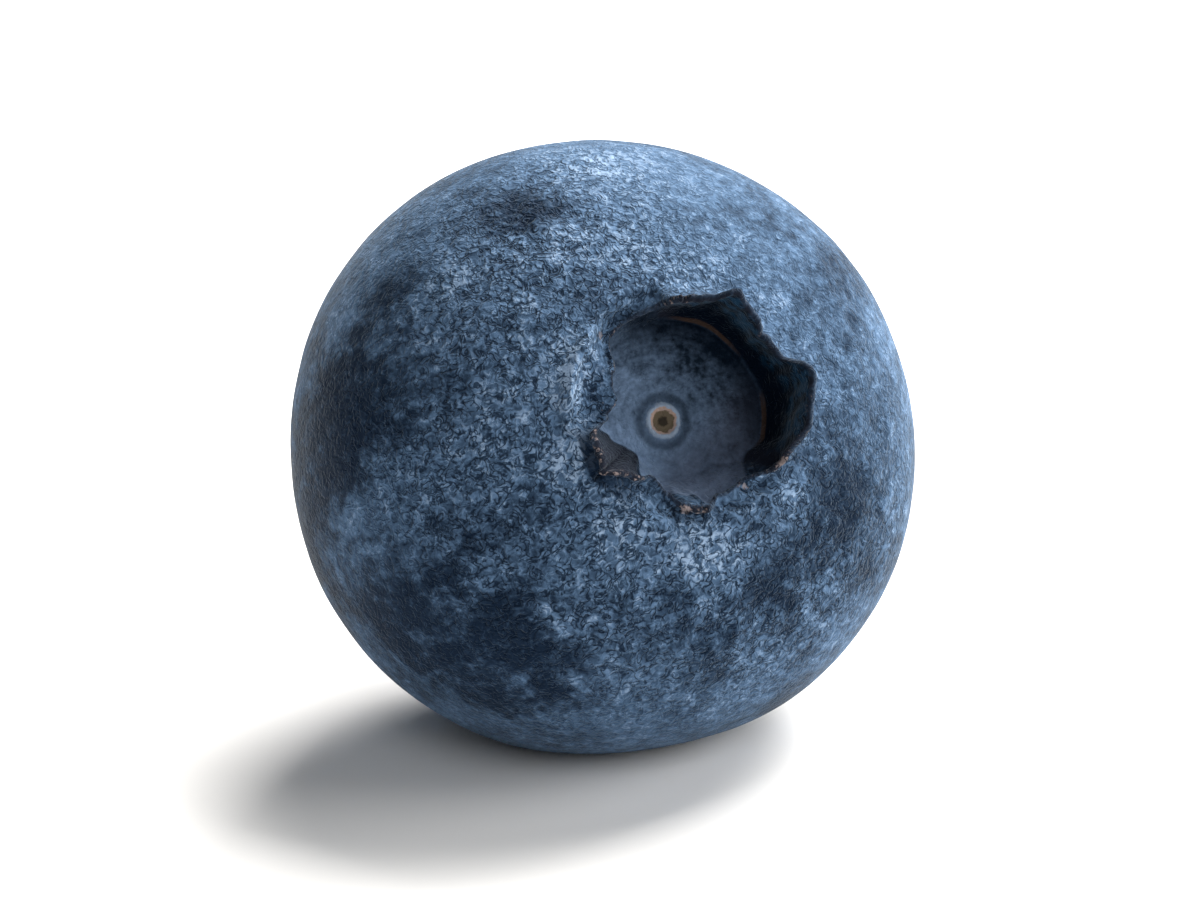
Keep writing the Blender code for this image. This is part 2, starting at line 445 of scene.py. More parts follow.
    def stretch(self, rim: Rim, angle: float, foot: Vector, heading: Vector,
                dish: Dish) -> list[ProfilePoint]:
        """The profile from the skin, up the outer face, over the edge and down to the dish.

        Args:
            rim: The crown's edge at this angle.
            angle: Degrees round the fruit's axis.
            foot: The last point of the skin.
            heading: Direction in which the skin reaches the foot.
            dish: The dish that the inner face stands on.

        Returns:
            The points in order, with the foot of the inner face last.
        """
        lean = math.radians(rim.lean)
        along = Vector((math.sin(lean), math.cos(lean)))
        across = Vector((along.y, -along.x))
        half = self.thickness / 2
        middle = Vector((rim.radius, dish.height + rim.height)) - along * half
        outside = middle + across * half
        inside = middle - across * half
        root = Vector((rim.dish, dish.floor(rim.dish, angle)))
        outer = curve(foot, heading, outside, along, self.outer_steps)
        inner = curve(inside, -along, root, Vector(self.root_heading), self.inner_steps)
        points = []
        for share, point in zip(shares(self.outer_steps + 1), outer):
            point = self.crinkle(point, angle, share, self.outer_seed, across)
            point.y += rim.ridge * hump(point.x, self.ridge_radius, self.ridge_width)
            groove = self.groove_share * hump(point.x, self.groove_radius, self.groove_width)
            point.y -= rim.ridge * groove
            points.append(ProfilePoint(point.x, point.y, Stretch.OUTER_FACE.value + share))
        for share in [0.0] + shares(self.edge_steps):
            swing = math.pi * share
            point = middle + across * half * math.cos(swing) + along * half * math.sin(swing)
            points.append(ProfilePoint(point.x, point.y, Stretch.EDGE.value + share))
        for share, point in zip(shares(self.inner_steps + 1), inner):
            point = self.crinkle(point, angle, 1 - share, self.inner_seed, across)
            points.append(ProfilePoint(point.x, point.y, Stretch.INNER_FACE.value + share))
        points.append(ProfilePoint(root.x, root.y, Stretch.DISH.value))
        return points

    def crinkle(self, point: Vector, angle: float, share: float, seed: float, across: Vector) -> Vector:
        """Moves a point of a lobe's face a little across the lobe, least at root and edge.

        Args:
            point: The point's radius and height.
            angle: Degrees round the fruit's axis.
            share: How far up the face the point is, from 0 to 1.
            seed: Picks the noise, so that the two faces differ.
            across: Direction through the lobe's edge.

        Returns:
            The moved point.
        """
        push = sum(Wave(size, busy, seed + share * rise).at(angle) for size, busy, rise in self.crinkles)
        return point + across * push * math.sin(math.pi * share)


@dataclass(frozen=True)
class Sag:
    """A place where the soft underside gives, in mm from the fruit's middle as it lies."""

    place: tuple[float, float]
    depth: float
    width: float


@dataclass(frozen=True)
class Pose:
    """How the fruit lies in the frame: turned about its own axis, tipped, then turned.

    The centre is where its middle ends up, in mm. The sags fade out above the lowest point.
    """

    roll: float = -10.4
    tilt: float = 59.0
    turn: float = 22.4
    centre: Place = (-0.2469, 0.4937, 7.7097)
    lowest: float = -8.1597
    sags: tuple[Sag, ...] = (Sag((-1.1, 2.2), 0.60, 3.5), Sag((1.4, -2.7), -0.15, 2.8))
    sag_height: float = 6.0

    def matrix(self) -> Matrix:
        """The turn from the fruit's own frame to the object's frame."""
        matrix = Matrix.Rotation(math.radians(self.turn), 3, "Z")
        matrix @= Matrix.Rotation(math.radians(self.tilt), 3, "X")
        return matrix @ Matrix.Rotation(math.radians(self.roll), 3, "Z")

    def lay(self, fruit: np.ndarray) -> np.ndarray:
        """Lays the fruit down on its soft underside.

        Args:
            fruit: Points in the fruit's own frame, in mm.

        Returns:
            The same points in the object's frame, in metres.
        """
        laid = fruit @ np.array(self.matrix()).T
        fade = np.clip(1 - (laid[:, 2] - self.lowest) / self.sag_height, 0.0, 1.0)
        drop = np.zeros(len(laid))
        for sag in self.sags:
            away = np.hypot(laid[:, 0] - sag.place[0], laid[:, 1] - sag.place[1])
            drop += sag.depth * np.exp(-((away / sag.width) ** 2))
        laid[:, 2] -= drop * fade
        return (laid + np.array(self.centre)) * MM


@dataclass
class Signal:
    """A value in a shader's node tree, so that shader maths reads as plain expressions."""

    tree: bpy.types.NodeTree
    socket: bpy.types.NodeSocket

    def math(self, operation: str, *others: Signal | float, clamp: bool = False) -> Signal:
        """Adds a Math node that starts with this value.

        Args:
            operation: The Math node's operation.
            others: The values of its other sockets.
            clamp: Whether the result is kept between 0 and 1.

        Returns:
            The node's result.
        """
        node = self.tree.nodes.new("ShaderNodeMath")
        node.operation = operation
        node.use_clamp = clamp
        for socket, value in zip(node.inputs, (self, *others)):
            plug(self.tree, socket, value)
        return Signal(self.tree, node.outputs[0])

    def __add__(self, other: Signal | float) -> Signal:
        """The sum of two values."""
        return self.math("ADD", other)

    __radd__ = __add__

    def __mul__(self, other: Signal | float) -> Signal:
        """The product of two values."""
        return self.math("MULTIPLY", other)

    __rmul__ = __mul__

    def __sub__(self, other: Signal | float) -> Signal:
        """This value less another."""
        return self.math("SUBTRACT", other)

    def __rsub__(self, other: float) -> Signal:
        """A number less this value."""
        return self * -1.0 + other

    def __abs__(self) -> Signal:
        """This value without its sign."""
        return self.math("ABSOLUTE")

    def clamp(self) -> Signal:
        """This value kept between 0 and 1."""
        return self.math("ADD", 0.0, clamp=True)

    def step(self, low: float, high: float) -> Signal:
        """A smooth step of this value.

        Args:
            low: Where the step gives 0.
            high: Where the step gives 1, which may be below low.

        Returns:
            A value from 0 to 1.
        """
        share = self.math("SUBTRACT", low).math("DIVIDE", high - low, clamp=True)
        return share * share * (3.0 - 2.0 * share)


def plug(tree: bpy.types.NodeTree, socket: bpy.types.NodeSocket, value: Signal | float | tuple) -> None:
    """Links a signal into a socket, or sets the socket to a plain value."""
    if isinstance(value, Signal):
        tree.links.new(value.socket, socket)
    else:
        socket.default_value = value


@dataclass(frozen=True)
class Grain:
    """A noise: its swings in a unit of length, octaves, their strength, swirl and shift."""

    scale: float
    detail: float = 2.0
    roughness: float = 0.5
    distortion: float = 0.0
    shift: Place = (0.0, 0.0, 0.0)


@dataclass
class Shader:
    """A material under construction."""

    name: str
    material: bpy.types.Material = field(init=False)
    tree: bpy.types.NodeTree = field(init=False)

    def __post_init__(self) -> None:
        """Makes the material with its plain surface shader."""
        self.material = bpy.data.materials.new(self.name)
        self.material.use_nodes = True
        self.tree = self.material.node_tree

    def dress(self, inputs: dict[str, Signal | float | tuple]) -> None:
        """Gives sockets of the surface shader their signals and plain values, by name."""
        for name, value in inputs.items():
            plug(self.tree, self.tree.nodes["Principled BSDF"].inputs[name], value)

    def node(self, kind: str, settings: dict, inputs: dict, output: str | int = 0) -> Signal:
        """Adds a node.

        Args:
            kind: The node's type.
            settings: The node's own settings, which are set first.
            inputs: Values or signals of its sockets by name or number.
            output: Which output to give.

        Returns:
            That output.
        """
        node = self.tree.nodes.new(kind)
        for key, value in settings.items():
            setattr(node, key, value)
        for key, value in inputs.items():
            plug(self.tree, node.inputs[key], value)
        return Signal(self.tree, node.outputs[output])

    def attribute(self, name: str, output: str = "Fac") -> Signal:
        """A value that the mesh carries at its points."""
        return self.node("ShaderNodeAttribute", {"attribute_name": name}, {}, output)

    def noise(self, place: Signal, grain: Grain) -> Signal:
        """A noise value from 0 to 1.

        Args:
            place: Where to read the noise.
            grain: What the noise is like.

        Returns:
            The noise.
        """
        if any(grain.shift):
            place = self.vector("ADD", place, grain.shift)
        inputs = {"Vector": place, "Scale": grain.scale, "Detail": grain.detail,
                  "Roughness": grain.roughness, "Distortion": grain.distortion}
        return self.node("ShaderNodeTexNoise", {}, inputs, "Fac")

    def mix(self, share: Signal | float, first: Signal | Colour, second: Signal | Colour) -> Signal:
        """A blend of two colours.

        Args:
            share: From 0, all first, to 1, all second.
            first: A colour or a signal of one.
            second: The same.

        Returns:
            The blended colour.
        """
        node = self.tree.nodes.new("ShaderNodeMix")
        node.data_type = "RGBA"
        plug(self.tree, node.inputs[0], share)
        for socket, value in ((node.inputs[6], first), (node.inputs[7], second)):
            plug(self.tree, socket, value if isinstance(value, Signal) else (*value, 1.0))
        return Signal(self.tree, node.outputs[2])

    def vector(self, operation: str, *inputs: Signal | tuple, output: str | int = 0) -> Signal:
        """Adds a Vector Math node.

        Args:
            operation: Its operation.
            inputs: The values of its sockets in order.
            output: Which output to give.

        Returns:
            That output.
        """
        numbered = dict(enumerate(inputs))
        return self.node("ShaderNodeVectorMath", {"operation": operation}, numbered, output)


@dataclass
class Ground:
    """What the fruit's colours are worked out from: the material, and where a point is.

    The place is in the fruit's own frame in mm, the stretch is along its profile, and the
    patches and the grain are a patchy and a fine noise from 0 to 1.
    """

    shader: Shader
    place: Signal
    stretch: Signal
    patches: Signal
    grain: Signal

    def noise(self, grain: Grain) -> Signal:
        """A noise value from 0 to 1 at the place."""
        return self.shader.noise(self.place, grain)

    def away(self, point: Place) -> Signal:
        """How far the place is from a point, in mm."""
        return self.shader.vector("DISTANCE", self.place, point, output="Value")

    def along(self, way: Place) -> Signal:
        """How far the place lies along a direction, in mm if that is a unit long."""
        return self.shader.vector("DOT_PRODUCT", self.place, way, output="Value")

    def off_axis(self) -> Signal:
        """How far the place is from the fruit's axis, in mm."""
        level = self.shader.vector("MULTIPLY", self.place, (1.0, 1.0, 0.0))
        return self.shader.vector("LENGTH", level, output="Value")


@dataclass(frozen=True)
class Strokes:
    """Short curved strokes: the middle line of one noise, with gaps where another is low."""

    line: Grain
    gaps: Grain
    line_step: Span
    gap_step: Span

    def lay(self, ground: Ground) -> Signal:
        """A value near 1 in a stroke and 0 outside one."""
        line = ground.noise(self.line)
        return abs(line - 0.5).step(*self.line_step) * ground.noise(self.gaps).step(*self.gap_step)


@dataclass(frozen=True)
class Mark:
    """A ragged round mark, in mm in the fruit's own frame.

    In the bloom a strength above 0 lays it thick and one below 0 rubs it thin, and some of
    these marks are painted highlight and painted shade. In rust and flakes the strength is the
    share of their colour.
    """

    place: Place
    size: float
    strength: float


@dataclass(frozen=True)
class FruitSkin:
    """Dark blue skin under a pale waxy bloom, with dried lobes and scars in their colours.

    Towards the lit side, within the sunny step along that way, flecks and crinkle are washed out
    as a painted sheen; below the low step of heights they are washed out too. The shaded way
    crosses the dish towards its painted shade and shadow, and the grey way towards its grey tint.
    """

    bare: Colour = (0.0022, 0.0065, 0.0170)
    thin: Colour = (0.076, 0.134, 0.228)
    thick: Colour = (0.218, 0.307, 0.443)
    # The inner faces, darker than bare skin: their own colour with painted shade; also the colour of the
    # painted shadow on the dish.
    shaded_wall: Colour = (0.0008, 0.0025, 0.0068)
    # Painted sheen: a teal glint on the upper inner faces of the lobes.
    painted_teal_sheen: Colour = (0.0045, 0.0240, 0.0520)
    dish_dark: Colour = (0.006, 0.012, 0.022)
    dish_pale: Colour = (0.200, 0.300, 0.470)
    dish_grey: Colour = (0.075, 0.085, 0.125)
    dried: Colour = (0.012, 0.014, 0.022)
    flake: Colour = (0.280, 0.225, 0.215)
    tan: Colour = (0.200, 0.162, 0.158)
    rust: Colour = (0.034, 0.020, 0.013)
    style_pale: Colour = (0.270, 0.340, 0.440)
    style_tan: Colour = (0.330, 0.235, 0.195)
    style_brown: Colour = (0.100, 0.080, 0.056)
    style_core: Colour = (0.022, 0.018, 0.014)
    stem_tan: Colour = (0.150, 0.105, 0.070)
    stem_brown: Colour = (0.060, 0.042, 0.030)
    # Towards the lit side, where the texture is washed out as a painted sheen.
    lit_side_way: Place = (0.65, 0.65, 0.20)
    sunny_step: Span = (1.5, 6.5)
    low_step: Span = (5.2, 2.2)
    # Points across the dish towards the tall lobes, whose shade and shadow on it are painted.
    shaded_way: Place = (0.22, 0.26, 0.0)
    grey_way: Place = (0.5, -0.5, 0.0)
    flecks: Strokes = Strokes(
        Grain(3.3, 1.5, 0.5, 1.3), Grain(3.0, 1.0, shift=(3.3, 21.0, 1.4)), (0.075, 0.022), (0.36, 0.52)
    )
    # Pale crests: partly the wax's own light lines, partly painted highlight on its ridges.
    crests: Strokes = Strokes(
        Grain(3.7, 1.5, 0.5, 1.1, (13.7, 4.1, 9.2)),
        Grain(2.8, 1.0, shift=(7.9, 2.6, 33.0)),
        (0.060, 0.015),
        (0.42, 0.58),
    )
    crinkles: Grain = Grain(4.2, 1.5, 0.55, 1.0)
    broad: Grain = Grain(0.24)
    blotches: Grain = Grain(0.8, 4.0, 0.65, 0.4)
    fine: Grain = Grain(3.2, 3.0, 0.65, 0.3)
    patches: Grain = Grain(2.2, 3.0, 0.6)
    grain: Grain = Grain(7.0, 2.0, 0.6)
    drift: Grain = Grain(1.1)
    stem_grain: Grain = Grain(5.0, 3.0, 0.6)
    bloom: float = 0.33
    broad_swing: float = 0.5
    blotch_swing: float = 1.05
    fine_swing: float = 0.6
    least_bloom: Span = (0.035, 0.30)
    most_bloom: Span = (0.85, 0.35)
    mark_ragged: float = 1.2
    mark_reach: float = 1.15
    bare_roughness: float = 0.52
    bloom_roughness: float = 0.26
    gloss: float = 0.03
    gloss_tint: Colour = (0.40, 0.65, 1.0)
    sheen: float = 0.12
    sheen_roughness: float = 0.35
    sheen_tint: Colour = (0.66, 0.83, 1.0)
    relief_strength: float = 0.9
    relief_depth: float = 0.07
    halo_radius: float = 0.68
    rusts: tuple[Mark, ...] = (
        Mark((1.2, 2.5, 5.3), 1.3, 0.85),
        Mark((2.7, 0.0, 5.3), 0.9, 0.85),
    )
    flakes: tuple[Mark, ...] = (
        Mark((-2.25, 0.1, 6.6), 0.24, 0.6),
        Mark((-1.8, 0.15, 6.25), 0.16, 0.6),
        Mark((0.0, -2.65, 6.65), 0.17, 0.6),
        Mark((-0.3, -2.6, 6.6), 0.12, 0.5),
        Mark((2.76, -1.3, 6.7), 0.16, 0.5),
        Mark((1.8, -1.9, 6.4), 0.12, 0.5),
        Mark((-2.1, 2.1, 6.2), 0.12, 0.4),
    )
    # Thick and thin patches of the bloom; some are painted light: the marked ones far to the left are
    # painted shade, and those on the top and right rims are painted highlight.
    bloom_marks_and_painted_light: tuple[Mark, ...] = (
        Mark((-7.9, 0.6, 2.9), 2.4, -0.38),
        Mark((-7.3, 3.0, 3.0), 1.8, -0.30),
        Mark((-4.9, -5.8, 3.2), 2.9, -0.50),
        Mark((-3.5, -6.6, 3.4), 2.3, -0.38),
        Mark((-6.0, -5.1, 2.2), 2.2, -0.22),
        Mark((1.1, -5.8, 5.2), 1.7, -0.38),
        Mark((4.9, -2.2, 5.6), 1.6, -0.28),
        Mark((6.1, -4.0, 4.0), 2.0, -0.30),
        Mark((-3.5, 5.6, 4.7), 1.3, -0.40),
        Mark((-8.3, -2.0, 0.4), 2.6, -0.18),
        Mark((4.7, -6.9, 1.7), 2.2, -0.25),
        Mark((-1.7, -3.0, 6.5), 1.3, 0.50),
        Mark((1.4, -3.9, 6.2), 1.4, 0.42),
        Mark((0.3, -3.6, 6.4), 1.2, 0.45),
        Mark((3.2, -2.2, 6.3), 1.0, 0.38),
        Mark((-2.9, 1.4, 6.6), 1.1, 0.50),
        Mark((-3.0, -1.4, 6.5), 1.2, 0.45),
        # Painted highlight on the top rim.
        Mark((-1.4, 7.4, 3.6), 2.6, 0.30),
        Mark((0.8, 7.0, 4.2), 2.4, 0.15),
        Mark((3.8, 4.7, 5.1), 2.4, -0.08),
        Mark((0.5, 4.0, 6.2), 1.4, 0.30),
        Mark((2.4, 3.1, 6.3), 1.2, 0.20),
        Mark((-5.4, 3.9, 4.6), 1.6, 0.15),
        Mark((-2.8, 4.7, 5.5), 1.6, 0.22),
        # Painted shade on the lower left side.
        Mark((-8.2, -2.4, -2.4), 4.0, -0.12),
        Mark((-5.4, -1.3, 5.5), 1.7, 0.10),
        Mark((4.4, -1.9, 5.8), 1.2, -0.15),
        Mark((2.8, -4.4, 5.7), 2.2, -0.30),
        Mark((-1.0, 4.4, 6.0), 1.8, 0.22),
        Mark((-4.2, 2.8, 5.8), 1.8, 0.15),
        Mark((-7.9, -0.2, 2.4), 2.0, -0.20),
        # Painted highlight on the right rim.
        Mark((6.6, 2.8, 4.2), 2.6, 0.06),
        Mark((5.0, 3.4, 4.9), 1.8, -0.08),
        # Painted highlight on the lower right rim.
        Mark((5.8, -4.8, 3.6), 1.4, 0.25),
        # Painted shade down the left side, this mark and the next three.
        Mark((-8.4, 0.6, 1.4), 3.0, -0.26),
        Mark((-8.4, -1.7, -0.3), 3.2, -0.16),
        Mark((-6.9, -4.9, 1.3), 3.0, -0.18),
        Mark((-6.4, 1.1, 4.8), 2.0, -0.06),
        Mark((-4.4, 0.2, 6.0), 2.4, 0.12),
        Mark((-3.2, 0.4, 6.6), 0.7, 0.60),
        Mark((3.5, 6.5, -2.5), 4.2, -0.24),
        Mark((-4.0, 4.5, -4.5), 3.8, -0.26),
        Mark((6.5, -3.5, -3.5), 4.5, -0.22),
        Mark((0.5, -4.5, -5.5), 4.0, -0.20),
        Mark((0.0, 0.0, -6.6), 2.6, -0.15),
        Mark((-1.3, -7.6, 3.2), 2.0, 0.12),
    )

    def material(self) -> bpy.types.Material:
        """Builds the skin's material.

        Returns:
            The material, which reads the mesh's own values fruit, stretch, bloomed, browned and the
            value of the painted shadow below the lobes' edges.
        """
        shader = Shader("bloomed_skin")
        place = shader.attribute("fruit", "Vector")
        patches = shader.noise(place, self.patches)
        grain = shader.noise(place, self.grain)
        ground = Ground(shader, place, shader.attribute("stretch"), patches, grain)
        washed_out = self.washed_out(ground)
        # Fewer dark flecks where the texture is washed out: painted sheen on the lit side.
        flecks = self.flecks.lay(ground) * (1.0 - 0.65 * washed_out)
        crinkle = self.crinkle(ground, washed_out)
        cover = self.cover(ground, flecks, crinkle)
        skin = shader.mix((cover * 2.0).clamp(), self.bare, self.thin)
        skin = shader.mix((cover * 2.0 - 1.0).clamp(), skin, self.thick)
        colour = self.stem_colour(ground, self.crown_colour(ground, skin))
        relief = cover * 0.7 - flecks * 0.5 + crinkle * 0.7
        relief = relief * (1.0 - 0.7 * ground.stretch.step(2.2, 2.8))
        bump = {"Strength": self.relief_strength, "Distance": self.relief_depth * MM, "Height": relief}
        shader.dress({
            "Base Color": colour,
            "Roughness": self.bare_roughness + self.bloom_roughness * cover,
            "Specular IOR Level": self.gloss,
            "Specular Tint": (*self.gloss_tint, 1.0),
            "Sheen Weight": self.sheen,
            "Sheen Roughness": self.sheen_roughness,
            "Sheen Tint": (*self.sheen_tint, 1.0),
            "Normal": shader.node("ShaderNodeBump", {}, bump, "Normal"),
        })
        return shader.material

    def washed_out(self, ground: Ground) -> Signal:
        """How much flecks and crinkle are washed out, from 0 to 1: on the lit side as a painted sheen,
        and low on the fruit.
        """
        low = ground.along((0.0, 0.0, 1.0)).step(*self.low_step)
        return ground.along(self.lit_side_way).step(*self.sunny_step).math("MAXIMUM", low)

    def crinkle(self, ground: Ground, washed_out: Signal) -> Signal:
        """The fine, even crinkle of the dried wax, from 0 to 1, weaker where it is washed out; in the
        colour it is partly the wax's own pattern, partly painted light and shade of its relief.
        """
        crinkle = ground.noise(self.crinkles).step(0.36, 0.64)
        return 0.5 + (crinkle - 0.5) * (1.0 - 0.55 * washed_out)

    def cover(self, ground: Ground, flecks: Signal, crinkle: Signal) -> Signal:
        """How thickly the bloom covers the skin.

        Args:
            ground: What the colours are worked out from.
            flecks: Where the wax is broken.
            crinkle: The wax's fine crinkle.

        Returns:
            A value from 0, bare, to 1, thick.
        """
        broad = ground.noise(self.broad) - 0.5
        blotches = ground.noise(self.blotches) - 0.5
        fine = ground.noise(self.fine) - 0.5
        amount = self.bloom + self.broad_swing * broad + self.blotch_swing * blotches
        amount = amount + self.fine_swing * fine
        # The marks lay or rub the bloom; some of them are painted highlight and painted shade.
        for mark in self.bloom_marks_and_painted_light:
            ragged = ground.away(mark.place) + blotches * mark.size * self.mark_ragged
            amount = amount + mark.strength * ragged.step(mark.size * self.mark_reach, 0.0)
        amount = amount.math("SMOOTH_MAX", *self.least_bloom).math("SMOOTH_MIN", *self.most_bloom)
        # Crinkle and crests lighten ridges and darken hollows in the colour: partly the wax's own
        # pattern, partly painted light and shade of its fine relief.
        amount = amount * (0.55 + 0.75 * crinkle + 0.40 * fine) * (1.0 - 0.80 * flecks)
        return (amount + self.crests.lay(ground) * (0.05 + 0.45 * amount)).clamp()

    def crown_colour(self, ground: Ground, skin: Signal) -> Signal:
        """Lays the crown, the dish, the rusty arc and the dry flakes over the skin's colour.

        Args:
            ground: What the colours are worked out from.
            skin: The skin's colour.

        Returns:
            The colour with these over it.
        """
        shader, stretch = ground.shader, ground.stretch
        crown = self.lobe_colour(ground, skin)
        dish = self.dish_colour(ground)
        over_lip = (stretch + shader.attribute("bloomed") * 0.75).step(3.94, 4.03)
        colour = shader.mix(over_lip, crown, dish)
        arc = stretch.step(3.94, 3.96) * stretch.step(4.01, 3.99)
        for mark in self.rusts:
            away = ground.away(mark.place) + (ground.patches - 0.5) * 0.8
            share = arc * away.step(mark.size, mark.size * 0.4)
            colour = shader.mix(share * mark.strength, colour, self.rust)
        for mark in self.flakes:
            away = ground.away(mark.place) + (ground.grain - 0.5) * mark.size * 2.6
            share = away.step(mark.size, mark.size * 0.5)
            colour = shader.mix(share * mark.strength, colour, self.flake)
        return colour

    def lobe_colour(self, ground: Ground, skin: Signal) -> Signal:
        """Colours of the skin and of the crown's faces and torn edge.

        Args:
            ground: What the colours are worked out from.
            skin: The skin's colour.

        Returns:
            The colour of skin and crown.
        """
        shader, stretch, patches = ground.shader, ground.stretch, ground.patches
        bloomed = shader.attribute("bloomed")
        browned = shader.attribute("browned")
        outside = stretch.step(0.93, 1.15) * stretch.step(2.05, 1.95)
        # Painted shadow: the outer face below a raised lobe's edge is turned towards dark bare skin.
        colour = shader.mix(outside * shader.attribute("edge_shadow") * 0.95, skin, self.bare)
        # Painted sheen in teal on the upper part of the inner faces.
        shaded_wall = shader.mix(patches.step(0.44, 0.58) * stretch.step(3.75, 3.45), self.shaded_wall, self.painted_teal_sheen)
        shaded_wall = shader.mix((browned * (0.5 + patches)).clamp(), shaded_wall, self.dried)
        shaded_wall = shader.mix((bloomed * (0.6 + patches)).clamp(), shaded_wall, skin)
        # The inner faces take the dark wall colour, which holds painted shade.
        colour = shader.mix(stretch.step(2.35, 2.75) * stretch.step(4.06, 3.94), colour, shaded_wall)
        edge = stretch.step(1.97, 2.20) * stretch.step(3.10, 2.9)
        dry = shader.mix(ground.grain.step(0.54, 0.66), self.dried, self.tan)
        torn = (browned * 0.5 + (patches - 0.5) * 2.2).step(0.10, 0.45)
        colour = shader.mix(edge * 0.7, colour, self.dried)
        return shader.mix(edge * torn * 0.9, colour, dry)

    def dish_colour(self, ground: Ground) -> Signal:
        """Colours of the dish, with its faint rings, painted shade and shadow of the tall lobes on one
        side, and the style's scar.
        """
        shader, patches, grain = ground.shader, ground.patches, ground.grain
        radius = ground.off_axis()
        # How far towards the tall lobes: the dish is darkened that way as painted shade.
        shadow_side = ground.along(self.shaded_way)
        grey = ground.along(self.grey_way).step(0.2, 1.1)
        drift = ground.noise(self.drift)
        rings = (radius * 15.0 + drift * 14.0).math("SINE")
        rings = rings + (radius * 37.0 + patches * 9.0).math("SINE") * 0.6
        pale = 0.40 + 0.6 * (drift - 0.5) + 0.35 * (patches - 0.5) - shadow_side * 0.40
        pale = pale + 0.035 * rings * radius.step(0.8, 1.3) + 0.55 * (grain - 0.5)
        dish = shader.mix(pale.clamp(), self.dish_dark, self.dish_pale)
        dish = shader.mix(grey * 0.55 * (0.4 + patches), dish, self.dish_grey)
        # Painted shadow of the tall lobes on the outer dish, in the dark wall colour.
        shade = radius.step(1.5, 2.75) * shadow_side.step(0.10, 0.60)
        dish = shader.mix(shade * 0.85, dish, self.shaded_wall)
        halo = abs(radius - self.halo_radius).step(0.20, 0.02)
        dish = shader.mix(halo * 0.6, dish, self.dish_dark)
        wobble = radius + (grain - 0.5) * 0.16
        dish = shader.mix(wobble.step(0.53, 0.45) * 0.75, dish, self.style_pale)
        dish = shader.mix(wobble.step(0.40, 0.36) * (0.4 + patches), dish, self.style_tan)
        dish = shader.mix(wobble.step(0.325, 0.28), dish, self.style_brown)
        return shader.mix(wobble.step(0.17, 0.10) * 0.9, dish, self.style_core)

    def stem_colour(self, ground: Ground, colour: Signal) -> Signal:
        """Lays the stem's scar over the colour at the other end.

        Args:
            ground: What the colours are worked out from.
            colour: The colour so far.

        Returns:
            The colour with the scar.
        """
        shader = ground.shader
        radius = ground.off_axis()
        grain = ground.noise(self.stem_grain)
        below = ground.along((0.0, 0.0, 1.0)).step(-4.0, -5.0)
        scar = shader.mix(grain.step(0.30, 0.68), self.stem_brown, self.stem_tan)
        wobble = radius + (grain - 0.5) * 0.25
        colour = shader.mix(below * wobble.step(1.15, 0.95) * 0.8, colour, self.bare)
        colour = shader.mix(below * wobble.step(0.92, 0.80), colour, scar)
        return shader.mix(below * radius.step(0.22, 0.10) * 0.8, colour, self.dried)


@dataclass(frozen=True)
class Floor:
    """A wide, plain, pale floor."""

    width: float = 3.0
    shade: Colour = (0.86, 0.865, 0.87)
    grain: Grain = Grain(30.0)
    roughness: float = 0.55
    roughness_swing: float = 0.1
    gloss: float = 0.2

    def build(self) -> None:
        """Adds the floor under the fruit."""
        bpy.ops.mesh.primitive_plane_add(size=self.width, location=(0.0, 0.0, 0.0))
        floor = bpy.context.object
        floor.name = "floor"
        shader = Shader("pale_floor")
        place = shader.node("ShaderNodeTexCoord", {}, {}, "Object")
        grain = shader.noise(place, self.grain)
        shader.dress({
            "Base Color": (*self.shade, 1.0),
            "Roughness": self.roughness + self.roughness_swing * grain,
            "Specular IOR Level": self.gloss,
        })
        floor.data.materials.append(shader.material)


@dataclass(frozen=True)
class SoftLight:
    """One square studio light that looks at the fruit."""

    name: str
    place: Place
    size: float
    power: float
    tint: Colour = (1.0, 1.0, 1.0)

    def build(self, aim: Vector) -> None:
        """Adds the light.

        Args:
            aim: The point it faces.
        """
        bpy.ops.object.light_add(type="AREA", location=self.place)
        light = bpy.context.object
        light.name = self.name
        light.data.shape = "SQUARE"
        light.data.size = self.size
        light.data.energy = self.power
        light.data.color = self.tint
        light.rotation_euler = (aim - Vector(self.place)).to_track_quat("-Z", "Y").to_euler()


